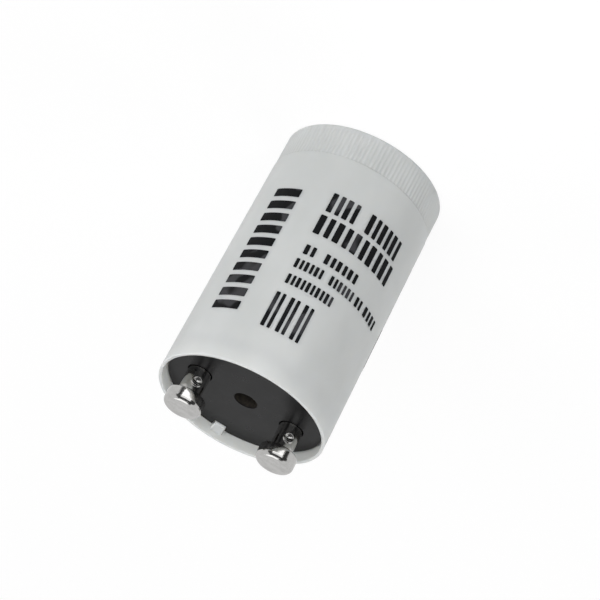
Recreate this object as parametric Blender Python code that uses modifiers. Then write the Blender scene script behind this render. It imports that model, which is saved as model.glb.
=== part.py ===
"""Fluorescent lamp starter: a white moulded can, a dark base plate with two contact pins,
and the glow lamp and capacitor that the can covers.

Metres, +Z up. The starter stands on the closed end of its can, with that face's centre at
the origin. The two contact pins are on top, one at +X and one at -X, and the key of the can
is at +Y.
"""
import math

import bmesh
import bpy
from mathutils import Vector

MM = 0.001

# Gaps between pieces
SEAT_GAP = 0.3 * MM         # under a face that rests on another piece
BORE_GAP = 0.15 * MM        # round a piece that sits in a bore

# Can
CAN_HEIGHT = 35.7 * MM
CAN_RADIUS = 10.75 * MM     # outside, at the mouth
CAN_DRAFT = 0.011           # radius lost for each unit of length towards the closed end
CAN_WALL = 1.1 * MM
CAN_FLOOR = 1.3 * MM
LIP_WALL = 0.42 * MM        # thin wall round the mouth, above the seat of the base plate
LIP_EDGE = 0.1 * MM
END_ROUND = 0.2 * MM        # rounded edge of the closed end
FLOOR_ROUND = 0.8 * MM      # inside corner at the closed end
FLOOR_STEPS = 2             # facets of that corner

# Grip band of the can
GRIP_HEIGHT = 4.5 * MM
GRIP_INSET = 0.06 * MM      # how far the tips of the ribs lie inside the plain wall
GRIP_RUNOUT = 0.15 * MM     # slope at each end of the ribs
RIB_COUNT = 120
RIB_DEPTH = 0.12 * MM

# Key inside the mouth of the can
KEY_WIDTH = 1.5 * MM
KEY_DEPTH = 1.4 * MM        # inwards from the mouth wall
KEY_RISE = 0.25 * MM        # above the face of the base plate
KEY_ROOT = 0.2 * MM         # how far the key is sunk in the wall and the seat

# Base plate
PLATE_THICKNESS = 1.6 * MM
PLATE_RECESS = 1.35 * MM    # face of the plate below the rim of the can
PLATE_EDGE = 0.15 * MM
VENT_RADIUS = 1.5 * MM      # hole in the middle of the plate

# Contact pins
PIN_SPACING = 12.7 * MM
PIN_REACH = 4.0 * MM        # end of the pins above the rim of the can
NECK_RADIUS = 1.45 * MM
NECK_SINK = 0.5 * MM        # depth of the recess that the neck stands in
SHANK_RADIUS = 1.15 * MM
PIN_BORE_RADIUS = 0.8 * MM
PIN_CROWN = 0.75 * MM       # metal between the bore and the end face
HEAD_RADIUS = 2.4 * MM
HEAD_HEIGHT = 1.8 * MM
HEAD_ROUND = 0.65 * MM      # rounded edge of the end face
HEAD_STEPS = 6              # facets of that edge
HEAD_EDGE = 0.12 * MM       # bevel under the head
CLENCH_RADIUS = 1.75 * MM   # rim rolled out under the plate
CLENCH_HEIGHT = 0.35 * MM
DIMPLE_RADIUS = 0.7 * MM    # crimp on the neck, at the surface
DIMPLE_DEPTH = 0.38 * MM
DIMPLE_HEIGHT = 1.87 * MM   # above the face of the plate

# Glow lamp
LAMP_RADIUS = 4.4 * MM
LAMP_LENGTH = 17.5 * MM     # open end to the top of the dome
LAMP_WALL = 0.5 * MM
LAMP_DROP = 7.5 * MM        # open end below the plate
PIP_RADIUS = 0.75 * MM      # tip where the lamp was sealed off
PIP_LENGTH = 1.0 * MM
STEM_LENGTH = 4.0 * MM      # flared foot of the stem
STEM_WALL = 0.5 * MM
STEM_NECK_RADIUS = 1.9 * MM
PRESS_WIDTH = 4.6 * MM      # flat part of the stem that holds the wires
PRESS_THICKNESS = 1.8 * MM
PRESS_LENGTH = 3.2 * MM

# Electrodes of the glow lamp
POST_SPACING = 2.6 * MM
POST_RISE = 1.0 * MM        # end of each lead past the press
ROD_RADIUS = 0.4 * MM
ROD_LENGTH = 4.6 * MM
STRIP_WIDTH = 1.8 * MM
STRIP_THICKNESS = 0.25 * MM
STRIP_LENGTH = 6.4 * MM
CONTACT_GAP = 0.45 * MM     # between the cold strip and the fixed electrode
STRIP_RETURN = 2.2 * MM     # end of the hook back towards the press

# Capacitor
CAP_RADIUS = 2.2 * MM
CAP_LENGTH = 7.8 * MM
CAP_ROUND = 0.5 * MM
CAP_DROP = 6.2 * MM         # capacitor's axis below the plate
CAP_CLEARANCE = 0.6 * MM    # between the capacitor and the lamp

# Wires
WIRE_RADIUS = 0.24 * MM
WIRE_PITCH = 0.68 * MM      # between the two wires in one pin
WIRE_IN_PIN = 4.4 * MM      # end of the wires above the underside of the plate
WIRE_STRAIGHT = 1.3 * MM    # straight run under the plate
WIRE_EXIT = 0.6 * MM        # straight run out of the capacitor
WIRE_BEND = 2.0 * MM        # how far a bend reaches along a straight run
WIRE_STEPS = 6              # points for each bend

# Facets
ROUND_STEPS = 48
SMALL_STEPS = 32
THIN_STEPS = 16
CHANNEL_STEPS = 12
BALL_STEPS = 24
ARC_STEPS = 4
SMOOTH_ANGLE = math.radians(32)

CUT_OVER = 1.0 * MM         # how far a cutter runs past a face

# Levels and radii that several pieces share
PLATE_TOP = CAN_HEIGHT - PLATE_RECESS
PLATE_UNDER = PLATE_TOP - PLATE_THICKNESS
SEAT_LEVEL = PLATE_UNDER - SEAT_GAP
MOUTH_RADIUS = CAN_RADIUS - LIP_WALL
PLATE_RADIUS = MOUTH_RADIUS - BORE_GAP
PIN_END = CAN_HEIGHT + PIN_REACH
PIN_SIDES = {"left": -1, "right": 1}
LAMP_MOUTH = PLATE_UNDER - LAMP_DROP
STEM_TOP = LAMP_MOUTH - STEM_LENGTH
PRESS_END = STEM_TOP - PRESS_LENGTH
POST_END = PRESS_END - POST_RISE
LAMP_OFFSET = CAP_RADIUS + CAP_CLEARANCE / 2    # lamp and capacitor share the width of the can
CAP_Y = LAMP_OFFSET - LAMP_RADIUS - CAP_CLEARANCE - CAP_RADIUS
CAP_LEVEL = PLATE_UNDER - CAP_DROP
WIRE_TOP = PLATE_UNDER + WIRE_IN_PIN
STRIP_NEAR = -POST_SPACING / 2 + WIRE_RADIUS + BORE_GAP + STRIP_THICKNESS / 2
STRIP_FAR = POST_SPACING / 2 - ROD_RADIUS - CONTACT_GAP - STRIP_THICKNESS / 2


def can_radius(level):
    """Outside radius of the drafted can at a level."""
    return CAN_RADIUS - CAN_DRAFT * (CAN_HEIGHT - level)


def make_collection(name):
    """New collection in the scene."""
    collection = bpy.data.collections.new(name)
    bpy.context.scene.collection.children.link(collection)
    return collection


def make_material(name, colour, roughness, metallic=0.0, clear=0.0):
    """Principled BSDF with the piece's own colour and finish."""
    material = bpy.data.materials.new(name)
    material.use_nodes = True
    shader = material.node_tree.nodes["Principled BSDF"]
    shader.inputs["Base Color"].default_value = (*colour, 1.0)
    shader.inputs["Roughness"].default_value = roughness
    shader.inputs["Metallic"].default_value = metallic
    shader.inputs["Transmission Weight"].default_value = clear
    material.diffuse_color = (*colour, 1.0)
    return material


def add_object(name, data, collection, material=None):
    """Object in a collection, with its material if it has one."""
    piece = bpy.data.objects.new(name, data)
    collection.objects.link(piece)
    if material:
        data.materials.append(material)
    return piece


def bake(piece):
    """Replace a curve, or a mesh with modifiers, by the mesh that it makes."""
    graph = bpy.context.evaluated_depsgraph_get()
    graph.update()
    mesh = bpy.data.meshes.new_from_object(piece.evaluated_get(graph), depsgraph=graph)
    shape = bmesh.new()
    shape.from_mesh(mesh)
    bmesh.ops.remove_doubles(shape, verts=shape.verts, dist=0.001 * MM)
    shape.to_mesh(mesh)
    shape.free()
    name = piece.name
    matrix = piece.matrix_world.copy()
    collection = piece.users_collection[0]
    bpy.data.objects.remove(piece)
    solid = bpy.data.objects.new(name, mesh)
    solid.matrix_world = matrix
    collection.objects.link(solid)
    return solid


def finish(piece):
    """Smooth shading with crisp edges."""
    piece.data.shade_smooth()
    piece.data.set_sharp_from_angle(angle=SMOOTH_ANGLE)
    return piece


def turned(name, profile, steps, collection, material=None):
    """Solid turned about Z. The profile's points are (radius, level) pairs that run from the axis
    back to the axis, down the outer side and up the inner one."""
    mesh = bpy.data.meshes.new(name)
    points = [(radius, 0.0, level) for radius, level in profile]
    mesh.from_pydata(points, [(i, i + 1) for i in range(len(points) - 1)], [])
    piece = add_object(name, mesh, collection, material)
    screw = piece.modifiers.new("Turn", "SCREW")
    screw.axis = "Z"
    screw.steps = steps
    screw.render_steps = steps
    screw.use_merge_vertices = True
    screw.merge_threshold = 0.001 * MM
    return bake(piece)


def arc(centre, radius, start, end, steps=ARC_STEPS):
    """Points of an arc in the (radius, level) plane. Angles are in degrees from the +X side."""
    points = []
    for i in range(steps + 1):
        angle = math.radians(start + (end - start) * i / steps)
        points.append((centre[0] + radius * math.cos(angle), centre[1] + radius * math.sin(angle)))
    return points


def hide_cutter(cutter):
    """Show a cutter as a wire and leave it out of renders."""
    cutter.hide_render = True
    cutter.display_type = "WIRE"
    return cutter


def add_cutter(name, mesh, collection):
    """Object that only shapes another one."""
    return hide_cutter(add_object(name, mesh, collection))


def box_mesh(name, low, high):
    """Box between two corners."""
    shape = bmesh.new()
    bmesh.ops.create_cube(shape, size=1.0)
    size = Vector(high) - Vector(low)
    middle = (Vector(high) + Vector(low)) / 2
    bmesh.ops.scale(shape, vec=size, verts=shape.verts)
    bmesh.ops.translate(shape, vec=middle, verts=shape.verts)
    mesh = bpy.data.meshes.new(name)
    shape.to_mesh(mesh)
    shape.free()
    return mesh


def cylinder_mesh(name, radius, low, high, steps=SMALL_STEPS):
    """Upright cylinder between two points, one above the other."""
    shape = bmesh.new()
    bmesh.ops.create_cone(shape, cap_ends=True, segments=steps, radius1=radius, radius2=radius,
                          depth=high[2] - low[2])
    bmesh.ops.translate(shape, vec=(Vector(high) + Vector(low)) / 2, verts=shape.verts)
    mesh = bpy.data.meshes.new(name)
    shape.to_mesh(mesh)
    shape.free()
    return mesh


def ball_mesh(name, radius):
    """Sphere for a pressed bowl."""
    shape = bmesh.new()
    bmesh.ops.create_uvsphere(shape, u_segments=BALL_STEPS, v_segments=BALL_STEPS // 2, radius=radius)
    mesh = bpy.data.meshes.new(name)
    shape.to_mesh(mesh)
    shape.free()
    return mesh


def combine(piece, cutters, operation):
    """Boolean each cutter into a piece."""
    for cutter in cutters:
        modifier = piece.modifiers.new(cutter.name, "BOOLEAN")
        modifier.operation = operation
        modifier.solver = "EXACT"
        modifier.object = cutter


def smooth_path(points, steps=WIRE_STEPS):
    """Points of a smooth curve through the given ones, with straight first and last runs."""
    path = [points[0], points[1]]
    for i in range(1, len(points) - 2):
        before, start, end, after = (Vector(points[i + k]) for k in (-1, 0, 1, 2))
        reach = min((end - start).length / 2, WIRE_BEND)
        leave = start + (start - before).normalized() * reach
        arrive = end - (after - end).normalized() * reach
        for step in range(1, steps + 1):
            t = step / steps
            s = 1 - t
            path.append(start * s ** 3 + leave * (3 * s * s * t) + arrive * (3 * s * t * t) + end * t ** 3)
    path.append(points[-1])
    return path


def wire(name, path, radius, collection, material):
    """Round wire along a path."""
    curve = bpy.data.curves.new(name, "CURVE")
    curve.dimensions = "3D"
    curve.bevel_depth = radius
    curve.bevel_resolution = 2
    curve.use_fill_caps = True
    spline = curve.splines.new("POLY")
    spline.points.add(len(path) - 1)
    for point, place in zip(spline.points, path):
        point.co = (*place, 1.0)
    return finish(bake(add_object(name, curve, collection, material)))


def build_can(parts, cutters, white):
    """One-piece moulded can with a ribbed grip band, a thin lip, a seat and a key."""
    grip = can_radius(GRIP_HEIGHT) - GRIP_INSET
    rib_low = END_ROUND + GRIP_RUNOUT
    rib_high = GRIP_HEIGHT - GRIP_RUNOUT
    profile = [(0.0, CAN_HEIGHT), (CAN_RADIUS - LIP_EDGE, CAN_HEIGHT), (CAN_RADIUS, CAN_HEIGHT - LIP_EDGE)]
    profile += [(can_radius(GRIP_HEIGHT), GRIP_HEIGHT), (grip, rib_high), (grip, rib_low)]
    profile += arc((grip - END_ROUND, END_ROUND), END_ROUND, 0, -90) + [(0.0, 0.0)]
    can = turned("can", profile, 2 * RIB_COUNT, parts, white)
    press_ribs(can, grip, rib_low, rib_high)
    floor_radius = can_radius(CAN_FLOOR) - CAN_WALL
    cavity = [(0.0, CAN_HEIGHT + CUT_OVER), (MOUTH_RADIUS + LIP_EDGE + CUT_OVER, CAN_HEIGHT + CUT_OVER)]
    cavity += [(MOUTH_RADIUS, CAN_HEIGHT - LIP_EDGE), (MOUTH_RADIUS, SEAT_LEVEL)]
    cavity += [(can_radius(SEAT_LEVEL) - CAN_WALL, SEAT_LEVEL)]
    corner = (floor_radius - FLOOR_ROUND, CAN_FLOOR + FLOOR_ROUND)
    cavity += arc(corner, FLOOR_ROUND, 0, -90, FLOOR_STEPS) + [(0.0, CAN_FLOOR)]
    core = turned("core", cavity, 2 * ROUND_STEPS, cutters)
    hide_cutter(core)
    low = (-KEY_WIDTH / 2, MOUTH_RADIUS - KEY_DEPTH, SEAT_LEVEL - KEY_ROOT)
    high = (KEY_WIDTH / 2, MOUTH_RADIUS + KEY_ROOT, PLATE_TOP + KEY_RISE)
    key = add_cutter("key_block", box_mesh("key_block", low, high), cutters)
    combine(can, [core], "DIFFERENCE")
    combine(can, [key], "UNION")
    return finish(can)


def press_ribs(can, grip, low, high):
    """Press every second column of the grip band inwards, so that ribs stand between."""
    half_step = math.pi / RIB_COUNT
    slack = 0.01 * MM
    for vertex in can.data.vertices:
        spot = vertex.co
        column = round(math.atan2(spot.y, spot.x) / half_step)
        on_band = low - slack < spot.z < high + slack and spot.xy.length > grip - slack
        if on_band and column % 2:
            spot.xy *= 1 - RIB_DEPTH / grip


def build_plate(parts, cutters, dark):
    """Round moulded plate with a key notch, a vent hole and two stepped holes for the pins."""
    profile = [(0.0, PLATE_TOP), (PLATE_RADIUS - PLATE_EDGE, PLATE_TOP)]
    profile += [(PLATE_RADIUS, PLATE_TOP - PLATE_EDGE), (PLATE_RADIUS, PLATE_UNDER + PLATE_EDGE)]
    profile += [(PLATE_RADIUS - PLATE_EDGE, PLATE_UNDER), (0.0, PLATE_UNDER)]
    plate = turned("base_plate", profile, 2 * ROUND_STEPS, parts, dark)
    over = PLATE_TOP + CUT_OVER
    under = PLATE_UNDER - CUT_OVER
    sink = PLATE_TOP - NECK_SINK
    holes = [cylinder_mesh("vent_hole", VENT_RADIUS, (0, 0, under), (0, 0, over), ROUND_STEPS)]
    for side, sign in PIN_SIDES.items():
        x = sign * PIN_SPACING / 2
        for part, radius, low in (("shank", SHANK_RADIUS, under), ("neck", NECK_RADIUS, sink)):
            name = part + "_hole_" + side
            holes.append(cylinder_mesh(name, radius + BORE_GAP, (x, 0, low), (x, 0, over)))
    notch = KEY_WIDTH / 2 + BORE_GAP
    low = (-notch, MOUTH_RADIUS - KEY_DEPTH - BORE_GAP, under)
    holes.append(box_mesh("key_notch", low, (notch, CAN_RADIUS, over)))
    combine(plate, [add_cutter(mesh.name, mesh, cutters) for mesh in holes], "DIFFERENCE")
    return finish(plate)


def build_pin(side, parts, cutters, metal):
    """Hollow drawn pin: thick round head, neck with a crimp, shank and clenched rim."""
    face = HEAD_RADIUS - HEAD_ROUND
    under = PIN_END - HEAD_HEIGHT
    neck_foot = PLATE_TOP - NECK_SINK + SEAT_GAP
    clench_top = PLATE_UNDER - SEAT_GAP
    profile = [(0.0, PIN_END)]
    profile += arc((face, PIN_END - HEAD_ROUND), HEAD_ROUND, 90, 0, HEAD_STEPS)
    profile += [(HEAD_RADIUS, under + HEAD_EDGE), (HEAD_RADIUS - HEAD_EDGE, under)]
    profile += [(NECK_RADIUS, under), (NECK_RADIUS, neck_foot), (SHANK_RADIUS, neck_foot)]
    profile += [(SHANK_RADIUS, clench_top), (CLENCH_RADIUS, clench_top)]
    profile += [(CLENCH_RADIUS, clench_top - CLENCH_HEIGHT)]
    profile += [(PIN_BORE_RADIUS, clench_top - CLENCH_HEIGHT)]
    profile += [(PIN_BORE_RADIUS, PIN_END - PIN_CROWN), (0.0, PIN_END - PIN_CROWN)]
    pin = turned("contact_pin_" + side, profile, SMALL_STEPS, parts, metal)
    pin.location.x = PIN_SIDES[side] * PIN_SPACING / 2
    ball = (DIMPLE_RADIUS ** 2 + DIMPLE_DEPTH ** 2) / (2 * DIMPLE_DEPTH)
    dimple = add_cutter("dimple_" + side, ball_mesh("dimple_" + side, ball), cutters)
    dimple.location = (pin.location.x, DIMPLE_DEPTH - NECK_RADIUS - ball, PLATE_TOP + DIMPLE_HEIGHT)
    combine(pin, [dimple], "DIFFERENCE")
    return finish(pin)


def build_envelope(parts, glass):
    """Blown glass of the glow lamp, open at its foot, with the tip where it was sealed off."""
    inner = LAMP_RADIUS - LAMP_WALL
    dome = LAMP_MOUTH - LAMP_LENGTH + LAMP_RADIUS
    tip = dome - LAMP_RADIUS - PIP_LENGTH
    meet = -math.degrees(math.acos(PIP_RADIUS / LAMP_RADIUS))
    profile = [(0.0, dome - inner)] + arc((0.0, dome), inner, -90, 0)[1:]
    profile += [(inner, LAMP_MOUTH), (LAMP_RADIUS, LAMP_MOUTH)]
    profile += arc((0.0, dome), LAMP_RADIUS, 0, meet)
    profile += arc((0.0, tip + PIP_RADIUS), PIP_RADIUS, 0, -90)[:-1] + [(0.0, tip)]
    envelope = turned("glow_lamp_glass", profile, SMALL_STEPS, parts, glass)
    envelope.location.y = LAMP_OFFSET
    return finish(envelope)


def flare_radius(share):
    """Outer radius of the stem's flare, from its foot at 0 to its neck at 1."""
    foot = LAMP_RADIUS - LAMP_WALL - BORE_GAP
    return STEM_NECK_RADIUS + (foot - STEM_NECK_RADIUS) * (1 - share) ** 2


def build_stem(parts, cutters, glass):
    """Hollow flare that closes the lamp's foot, and the flat press that holds the two leads."""
    shares = [i / ARC_STEPS for i in range(ARC_STEPS + 1)]
    bottom = STEM_TOP + STEM_WALL
    profile = [(0.0, bottom)]
    for share in reversed(shares):
        profile.append((flare_radius(share) - STEM_WALL, LAMP_MOUTH + (bottom - LAMP_MOUTH) * share))
    shoulder = LAMP_MOUTH - STEM_WALL
    profile += [(flare_radius(0), LAMP_MOUTH)]
    profile += [(flare_radius(share), shoulder + (STEM_TOP - shoulder) * share) for share in shares]
    profile += [(0.0, STEM_TOP)]
    stem = turned("glow_lamp_stem", profile, SMALL_STEPS, parts, glass)
    width = PRESS_WIDTH / 2
    thickness = PRESS_THICKNESS / 2
    low = (-width, -thickness, PRESS_END)
    high = (width, thickness, STEM_TOP + STEM_WALL / 2)
    press = add_cutter("press_block", box_mesh("press_block", low, high), cutters)
    channels = []
    for side, sign in PIN_SIDES.items():
        name = "channel_" + side
        post = sign * POST_SPACING / 2
        ends = (post, 0, PRESS_END - CUT_OVER), (post, 0, bottom + CUT_OVER)
        mesh = cylinder_mesh(name, WIRE_RADIUS + BORE_GAP, *ends, CHANNEL_STEPS)
        channels.append(add_cutter(name, mesh, cutters))
    for piece in [stem, press] + channels:
        piece.location.y = LAMP_OFFSET
    combine(stem, [press], "UNION")
    combine(stem, channels, "DIFFERENCE")
    return finish(stem)


def build_rod(parts, nickel):
    """Fixed electrode, a round-ended rod welded to the end of the right lead."""
    top = POST_END - BORE_GAP
    low = top - ROD_LENGTH
    profile = [(0.0, top), (ROD_RADIUS, top)]
    profile += arc((0.0, low + ROD_RADIUS), ROD_RADIUS, 0, -90)[:-1] + [(0.0, low)]
    rod = turned("fixed_electrode", profile, THIN_STEPS, parts, nickel)
    rod.location = (POST_SPACING / 2, LAMP_OFFSET, 0.0)
    return finish(rod)


def build_strip(parts, bimetal):
    """Hooked bimetal strip, welded beside the end of the left lead."""
    top = PRESS_END - BORE_GAP
    hook = (STRIP_FAR - STRIP_NEAR) / 2
    bend = top - STRIP_LENGTH + hook
    line = [(STRIP_NEAR, top)]
    line += arc((STRIP_NEAR + hook, bend), hook, 180, 360, 2 * ARC_STEPS)
    line += [(STRIP_FAR, bend + STRIP_RETURN - hook)]
    mesh = bpy.data.meshes.new("bimetal_strip")
    points = [(x, LAMP_OFFSET + side * STRIP_WIDTH / 2, z) for x, z in line for side in (-1, 1)]
    faces = [(2 * i, 2 * i + 1, 2 * i + 3, 2 * i + 2) for i in range(len(line) - 1)]
    mesh.from_pydata(points, [], faces)
    strip = add_object("bimetal_strip", mesh, parts, bimetal)
    thick = strip.modifiers.new("Thickness", "SOLIDIFY")
    thick.thickness = STRIP_THICKNESS
    thick.offset = 0.0
    thick.use_even_offset = True
    return finish(strip)


def build_capacitor(parts, brown):
    """Dipped film capacitor, lying across the can."""
    half = CAP_LENGTH / 2
    profile = [(0.0, half)] + arc((CAP_RADIUS - CAP_ROUND, half - CAP_ROUND), CAP_ROUND, 90, 0)
    profile += arc((CAP_RADIUS - CAP_ROUND, CAP_ROUND - half), CAP_ROUND, 0, -90) + [(0.0, -half)]
    body = turned("capacitor", profile, SMALL_STEPS, parts, brown)
    body.rotation_euler = (0.0, math.radians(90), 0.0)
    body.location = (0.0, CAP_Y, CAP_LEVEL)
    return finish(body)


def build_wires(parts, tinned):
    """Lead of the lamp and lead of the capacitor, side by side in each pin."""
    for side, sign in PIN_SIDES.items():
        pin = sign * PIN_SPACING / 2
        low = PLATE_UNDER - SEAT_GAP - CLENCH_HEIGHT - WIRE_STRAIGHT
        post = sign * POST_SPACING / 2
        lamp_y = WIRE_PITCH / 2
        clear = LAMP_MOUTH + WIRE_STRAIGHT
        path = [(post, LAMP_OFFSET, POST_END), (post, LAMP_OFFSET, clear)]
        path += [(pin, lamp_y, low), (pin, lamp_y, WIRE_TOP)]
        wire("lamp_lead_" + side, smooth_path(path), WIRE_RADIUS, parts, tinned)
        end = sign * (CAP_LENGTH / 2 + BORE_GAP)
        out = sign * (CAP_LENGTH / 2 + BORE_GAP + WIRE_EXIT)
        path = [(end, CAP_Y, CAP_LEVEL), (out, CAP_Y, CAP_LEVEL)]
        path += [(pin, -lamp_y, low), (pin, -lamp_y, WIRE_TOP)]
        wire("capacitor_lead_" + side, smooth_path(path), WIRE_RADIUS, parts, tinned)


def main():
    for piece in list(bpy.data.objects):
        bpy.data.objects.remove(piece)
    parts = make_collection("fluorescent_starter")
    cutters = make_collection("cutters")
    white = make_material("white_plastic", (0.78, 0.79, 0.79), 0.42)
    dark = make_material("dark_plastic", (0.035, 0.035, 0.037), 0.32)
    plated = make_material("nickel_plate", (0.75, 0.75, 0.74), 0.16, metallic=1.0)
    glass = make_material("clear_glass", (0.92, 0.95, 0.94), 0.05, clear=1.0)
    nickel = make_material("nickel_wire", (0.55, 0.54, 0.52), 0.35, metallic=1.0)
    bimetal = make_material("bimetal", (0.50, 0.46, 0.40), 0.4, metallic=1.0)
    brown = make_material("brown_resin", (0.30, 0.12, 0.05), 0.35)
    tinned = make_material("tinned_wire", (0.62, 0.62, 0.60), 0.3, metallic=1.0)
    build_can(parts, cutters, white)
    build_plate(parts, cutters, dark)
    for side in PIN_SIDES:
        build_pin(side, parts, cutters, plated)
    build_envelope(parts, glass)
    build_stem(parts, cutters, glass)
    build_rod(parts, nickel)
    build_strip(parts, bimetal)
    build_capacitor(parts, brown)
    build_wires(parts, tinned)


main()
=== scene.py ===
"""Fluorescent lamp starter: fine forms, finishes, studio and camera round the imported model.

Metres, +Z up. The starter stands on the closed end of its can, and its two contact pins are on
top, one at +X and one at -X. The key of the can is at +Y, and the print faces -Y.
"""
import math

import bmesh
import bpy
from bpy.props import FloatProperty, FloatVectorProperty, IntProperty, PointerProperty
from mathutils import Matrix, Vector


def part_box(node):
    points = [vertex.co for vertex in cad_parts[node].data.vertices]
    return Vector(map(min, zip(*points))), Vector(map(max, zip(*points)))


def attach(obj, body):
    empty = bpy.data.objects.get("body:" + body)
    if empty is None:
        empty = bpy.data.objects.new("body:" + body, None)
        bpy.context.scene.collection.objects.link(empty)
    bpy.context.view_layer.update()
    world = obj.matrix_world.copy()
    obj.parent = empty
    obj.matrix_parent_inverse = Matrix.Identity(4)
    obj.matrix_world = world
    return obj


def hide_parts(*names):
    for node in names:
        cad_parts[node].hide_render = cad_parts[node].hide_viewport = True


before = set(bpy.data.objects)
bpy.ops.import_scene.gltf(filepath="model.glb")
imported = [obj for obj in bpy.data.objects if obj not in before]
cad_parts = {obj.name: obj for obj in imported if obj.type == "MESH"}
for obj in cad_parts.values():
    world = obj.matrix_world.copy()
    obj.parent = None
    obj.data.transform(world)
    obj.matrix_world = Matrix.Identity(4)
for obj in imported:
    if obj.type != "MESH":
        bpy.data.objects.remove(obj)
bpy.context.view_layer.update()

bl_info = {
    "name": "Fluorescent lamp starter",
    "version": (1, 0, 0),
    "blender": (4, 5, 0),
    "location": "3D View > Sidebar > Starter",
    "description": "Fine forms, finishes, studio and camera of a fluorescent lamp starter",
    "category": "Object",
}

MM = 0.001

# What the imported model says
CAN_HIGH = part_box("can")[1]
PLATE_LOW, PLATE_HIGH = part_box("base_plate")
PIN_LOW, PIN_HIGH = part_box("contact_pin_right")
CAN_HEIGHT = CAN_HIGH.z
CAN_RADIUS = CAN_HIGH.x
PLATE_TOP = PLATE_HIGH.z
PLATE_UNDER = PLATE_LOW.z
PIN_CENTRE = (PIN_LOW.x + PIN_HIGH.x) / 2
PIN_RADIUS = (PIN_HIGH.x - PIN_LOW.x) / 2
PIN_SIDES = {"left": -1, "right": 1}

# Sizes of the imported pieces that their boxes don't give
VENT_RADIUS = 1.5 * MM
SEAT_GAP = 0.3 * MM

# How finely the meshes are made
CAN_CORNER_STEPS = 5
LIP_STEPS = 4
KEY_STEPS = 4
RUNOUT_STEPS = 8
COLUMNS_PER_RIB = 8
HEAD_STEPS = 14
HEAD_EDGE_STEPS = 4
NECK_STEPS = 110
PIN_COLUMNS = 256
BEVEL_STEPS = 3

# Edges stay crisp where faces meet at more than this angle, in degrees
CAN_CRISP = 35.0
PIN_CRISP = 40.0
INK_CRISP = 40.0

# Plate: points nearer than the weld are joined, faces that meet at under the flat angle (in degrees)
# are one face, an edge over the sharp angle is bevelled, and a face this level is shaded flat
PLATE_WELD = 0.002 * MM
PLATE_FLAT = 1.0
PLATE_SHARP = 50.0
LEVEL_FACE = 0.999


def length(name, text, size):
    """Length that a user can set, in metres, from millimetres."""
    return FloatProperty(name=name, description=text, default=size * MM, min=0.0, unit="LENGTH",
                         precision=5)


def angle(name, text, degrees):
    """Angle that a user can set."""
    return FloatProperty(name=name, description=text, default=math.radians(degrees), unit="ROTATION")


def colour(name, text, value):
    """Colour that a user can set."""
    return FloatVectorProperty(name=name, description=text, default=value, size=3, min=0.0, max=1.0,
                               subtype="COLOR")


class StarterCanSizes(bpy.types.PropertyGroup):
    """Sizes of the can."""
    draft: FloatProperty(name="Draft", description="Radius lost for each unit of length", default=0.011)
    wall: length("Wall", "Wall of the can below the plate", 1.1)
    floor: length("Floor", "Thickness of the closed end", 1.3)
    floor_round: length("Floor corner", "Round in the corner inside the closed end", 0.8)
    lip_wall: length("Lip", "Wall of the can above the plate", 0.42)
    lip_edge: length("Lip edge", "Round on the rim of the can", 0.1)
    end_round: length("End edge", "Round on the edge of the closed end", 0.2)
    grip_height: length("Grip band", "Height of the ribbed band", 4.5)
    grip_inset: length("Grip inset", "How far the ribs lie inside the plain wall", 0.06)
    runout: length("Rib runout", "Length over which a rib fades at each end", 0.3)
    rib_count: IntProperty(name="Ribs", description="Number of ribs round the band", default=120,
                           min=12)
    rib_depth: length("Rib depth", "Depth of the grooves between the ribs", 0.08)
    rib_shape: FloatProperty(name="Rib shape", description="Under 1 the ribs have narrower tops",
                             default=0.8, min=0.1)
    key_width: length("Key width", "Width of the key inside the mouth", 1.5)
    key_depth: length("Key depth", "How far the key stands out of the mouth wall", 1.4)
    key_rise: length("Key rise", "Key above the face of the plate", 0.25)
    key_slope: length("Key slope", "Rise of the key's top towards the wall", 0.35)
    key_round: length("Key edge", "Round on the edges of the key", 0.12)


class StarterPinSizes(bpy.types.PropertyGroup):
    """Sizes of the contact pins and the plate."""
    head_height: length("Head", "Thickness of the head", 1.8)
    head_round: length("Head round", "Round on the edge of the end face", 0.65)
    head_edge: length("Head under edge", "Round under the head", 0.12)
    head_blend: length("Head blend", "Step where the flat face runs into its round", 0.02)
    neck_radius: length("Neck radius", "Radius between the head and the plate", 1.45)
    neck_sink: length("Neck sink", "Depth of the recess that the neck stands in", 0.2)
    shank_radius: length("Shank radius", "Radius inside the plate", 1.15)
    bore_radius: length("Bore radius", "Radius of the hollow inside the pin", 0.8)
    neck_foot: length("Neck foot", "How far the neck flares out at the plate", 0.02)
    neck_flare: length("Neck flare", "Height of that flare", 0.5)
    neck_chamfer: length("Neck chamfer", "Chamfer between the neck and the head", 0.05)
    crown: length("Crown", "Metal between the hollow and the end face", 0.75)
    clench_radius: length("Clench radius", "Radius of the rim rolled out under the plate", 1.75)
    clench_height: length("Clench height", "Thickness of that rim", 0.35)
    crimp_height: length("Crimp height", "Middle of the crimp above the plate", 1.87)
    crimp_radius: length("Crimp radius", "Radius of the bowl of the crimp", 0.41)
    crimp_depth: length("Crimp depth", "Depth of the bowl of the crimp", 0.21)
    crimp_rim: length("Crimp rim", "Height of the ridge round the bowl", 0.14)
    crimp_rim_width: length("Crimp rim width", "Half width of that ridge", 0.15)
    plate_bevel: length("Plate edges", "Bevel on the edges of the plate and its holes", 0.04)
    plate_rim: length("Plate rim", "Bevel on the plate's upper rim", 0.18)


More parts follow.
